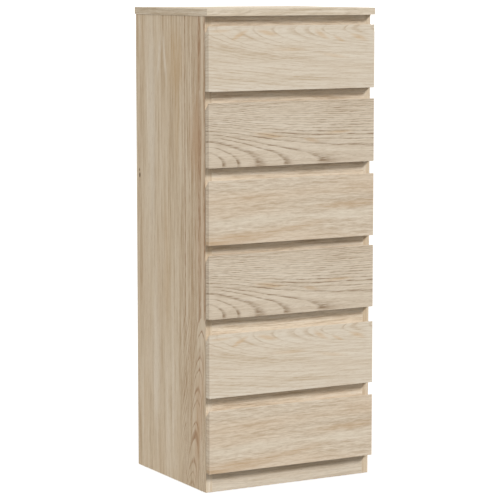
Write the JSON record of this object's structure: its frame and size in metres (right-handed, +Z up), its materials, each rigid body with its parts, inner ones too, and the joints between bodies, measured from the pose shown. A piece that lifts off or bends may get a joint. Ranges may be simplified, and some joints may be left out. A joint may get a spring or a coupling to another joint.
{
  "type": "tall chest of drawers",
  "caption": "Tall narrow chest of handle-less overlay drawers in light oak board, with bevelled finger pulls, recessed rails, a plinth and roller runners.",
  "frame": {"origin": "on the floor, under the middle of the overall width and depth", "axes": "+X to the right as seen by someone facing the drawers, +Y towards the back, +Z up; the drawers face -Y"},
  "size_m": [0.48, 0.4, 1.2],
  "materials": {
    "oak_board": "light oak foil on particle board, matt, fine grain",
    "box_board": "pale foiled drawer-box board, satin",
    "hardboard": "thin lacquered hardboard, satin front, brown back",
    "runner_steel": "epoxy-coated white steel strip",
    "roller_nylon": "white nylon",
    "zinc": "die-cast zinc and zinc-plated steel, dull",
    "beech": "plain beech dowel",
    "glide_plastic": "hard plastic glide on a nail"
  },
  "bodies": {
    "carcass": {"top_panel": "oak_board", "side_panel_left": "oak_board", "side_panel_right": "oak_board", "base_panel": "oak_board", "plinth": "oak_board", "front_rails": "oak_board", "back_panel": "hardboard", "cabinet_runners": "runner_steel", "cam_locks": "zinc", "cam_bolts": "zinc", "dowels": "beech", "foot_glides": "glide_plastic"},
    "drawer_1": {"drawer_1_front": "oak_board", "drawer_1_side_left": "box_board", "drawer_1_side_right": "box_board", "drawer_1_back": "box_board", "drawer_1_base": "hardboard", "drawer_1_runners": "runner_steel"},
    "drawer_1_rollers": {"drawer_1_rollers": "roller_nylon"},
    "cabinet_rollers_1": {"cabinet_rollers_1": "roller_nylon"},
    "drawer_2": {"drawer_2_front": "oak_board", "drawer_2_side_left": "box_board", "drawer_2_side_right": "box_board", "drawer_2_back": "box_board", "drawer_2_base": "hardboard", "drawer_2_runners": "runner_steel"},
    "drawer_2_rollers": {"drawer_2_rollers": "roller_nylon"},
    "cabinet_rollers_2": {"cabinet_rollers_2": "roller_nylon"},
    "drawer_3": {"drawer_3_front": "oak_board", "drawer_3_side_left": "box_board", "drawer_3_side_right": "box_board", "drawer_3_back": "box_board", "drawer_3_base": "hardboard", "drawer_3_runners": "runner_steel"},
    "drawer_3_rollers": {"drawer_3_rollers": "roller_nylon"},
    "cabinet_rollers_3": {"cabinet_rollers_3": "roller_nylon"},
    "drawer_4": {"drawer_4_front": "oak_board", "drawer_4_side_left": "box_board", "drawer_4_side_right": "box_board", "drawer_4_back": "box_board", "drawer_4_base": "hardboard", "drawer_4_runners": "runner_steel"},
    "drawer_4_rollers": {"drawer_4_rollers": "roller_nylon"},
    "cabinet_rollers_4": {"cabinet_rollers_4": "roller_nylon"},
    "drawer_5": {"drawer_5_front": "oak_board", "drawer_5_side_left": "box_board", "drawer_5_side_right": "box_board", "drawer_5_back": "box_board", "drawer_5_base": "hardboard", "drawer_5_runners": "runner_steel"},
    "drawer_5_rollers": {"drawer_5_rollers": "roller_nylon"},
    "cabinet_rollers_5": {"cabinet_rollers_5": "roller_nylon"},
    "drawer_6": {"drawer_6_front": "oak_board", "drawer_6_side_left": "box_board", "drawer_6_side_right": "box_board", "drawer_6_back": "box_board", "drawer_6_base": "hardboard", "drawer_6_runners": "runner_steel"},
    "drawer_6_rollers": {"drawer_6_rollers": "roller_nylon"},
    "cabinet_rollers_6": {"cabinet_rollers_6": "roller_nylon"}
  },
  "joints": [
    {"name": "drawer_1_slide", "type": "slide", "parent": "carcass", "child": "drawer_1", "axis": [0, -1, 0], "range_m": [0, 0.265]},
    {"name": "drawer_1_rollers_turn", "type": "hinge", "parent": "drawer_1", "child": "drawer_1_rollers", "pos_m": [0, 0.157, 1.0287], "axis": [1, 0, 0], "continuous": true},
    {"name": "cabinet_rollers_1_turn", "type": "hinge", "parent": "carcass", "child": "cabinet_rollers_1", "pos_m": [0, -0.1675, 1.0287], "axis": [1, 0, 0], "continuous": true},
    {"name": "drawer_2_slide", "type": "slide", "parent": "carcass", "child": "drawer_2", "axis": [0, -1, 0], "range_m": [0, 0.265]},
    {"name": "drawer_2_rollers_turn", "type": "hinge", "parent": "drawer_2", "child": "drawer_2_rollers", "pos_m": [0, 0.157, 0.8422], "axis": [1, 0, 0], "continuous": true},
    {"name": "cabinet_rollers_2_turn", "type": "hinge", "parent": "carcass", "child": "cabinet_rollers_2", "pos_m": [0, -0.1675, 0.8422], "axis": [1, 0, 0], "continuous": true},
    {"name": "drawer_3_slide", "type": "slide", "parent": "carcass", "child": "drawer_3", "axis": [0, -1, 0], "range_m": [0, 0.265]},
    {"name": "drawer_3_rollers_turn", "type": "hinge", "parent": "drawer_3", "child": "drawer_3_rollers", "pos_m": [0, 0.157, 0.6522], "axis": [1, 0, 0], "continuous": true},
    {"name": "cabinet_rollers_3_turn", "type": "hinge", "parent": "carcass", "child": "cabinet_rollers_3", "pos_m": [0, -0.1675, 0.6522], "axis": [1, 0, 0], "continuous": true},
    {"name": "drawer_4_slide", "type": "slide", "parent": "carcass", "child": "drawer_4", "axis": [0, -1, 0], "range_m": [0, 0.265]},
    {"name": "drawer_4_rollers_turn", "type": "hinge", "parent": "drawer_4", "child": "drawer_4_rollers", "pos_m": [0, 0.157, 0.4687], "axis": [1, 0, 0], "continuous": true},
    {"name": "cabinet_rollers_4_turn", "type": "hinge", "parent": "carcass", "child": "cabinet_rollers_4", "pos_m": [0, -0.1675, 0.4687], "axis": [1, 0, 0], "continuous": true},
    {"name": "drawer_5_slide", "type": "slide", "parent": "carcass", "child": "drawer_5", "axis": [0, -1, 0], "range_m": [0, 0.265]},
    {"name": "drawer_5_rollers_turn", "type": "hinge", "parent": "drawer_5", "child": "drawer_5_rollers", "pos_m": [0, 0.157, 0.2717], "axis": [1, 0, 0], "continuous": true},
    {"name": "cabinet_rollers_5_turn", "type": "hinge", "parent": "carcass", "child": "cabinet_rollers_5", "pos_m": [0, -0.1675, 0.2717], "axis": [1, 0, 0], "continuous": true},
    {"name": "drawer_6_slide", "type": "slide", "parent": "carcass", "child": "drawer_6", "axis": [0, -1, 0], "range_m": [0, 0.265]},
    {"name": "drawer_6_rollers_turn", "type": "hinge", "parent": "drawer_6", "child": "drawer_6_rollers", "pos_m": [0, 0.157, 0.0812], "axis": [1, 0, 0], "continuous": true},
    {"name": "cabinet_rollers_6_turn", "type": "hinge", "parent": "carcass", "child": "cabinet_rollers_6", "pos_m": [0, -0.1675, 0.0812], "axis": [1, 0, 0], "continuous": true}
  ],
  "couplings": [
    {"joint": "drawer_1_rollers_turn", "follows": "drawer_1_slide", "rad_per_m": 100},
    {"joint": "cabinet_rollers_1_turn", "follows": "drawer_1_slide", "rad_per_m": 100},
    {"joint": "drawer_2_rollers_turn", "follows": "drawer_2_slide", "rad_per_m": 100},
    {"joint": "cabinet_rollers_2_turn", "follows": "drawer_2_slide", "rad_per_m": 100},
    {"joint": "drawer_3_rollers_turn", "follows": "drawer_3_slide", "rad_per_m": 100},
    {"joint": "cabinet_rollers_3_turn", "follows": "drawer_3_slide", "rad_per_m": 100},
    {"joint": "drawer_4_rollers_turn", "follows": "drawer_4_slide", "rad_per_m": 100},
    {"joint": "cabinet_rollers_4_turn", "follows": "drawer_4_slide", "rad_per_m": 100},
    {"joint": "drawer_5_rollers_turn", "follows": "drawer_5_slide", "rad_per_m": 100},
    {"joint": "cabinet_rollers_5_turn", "follows": "drawer_5_slide", "rad_per_m": 100},
    {"joint": "drawer_6_rollers_turn", "follows": "drawer_6_slide", "rad_per_m": 100},
    {"joint": "cabinet_rollers_6_turn", "follows": "drawer_6_slide", "rad_per_m": 100}
  ]
}
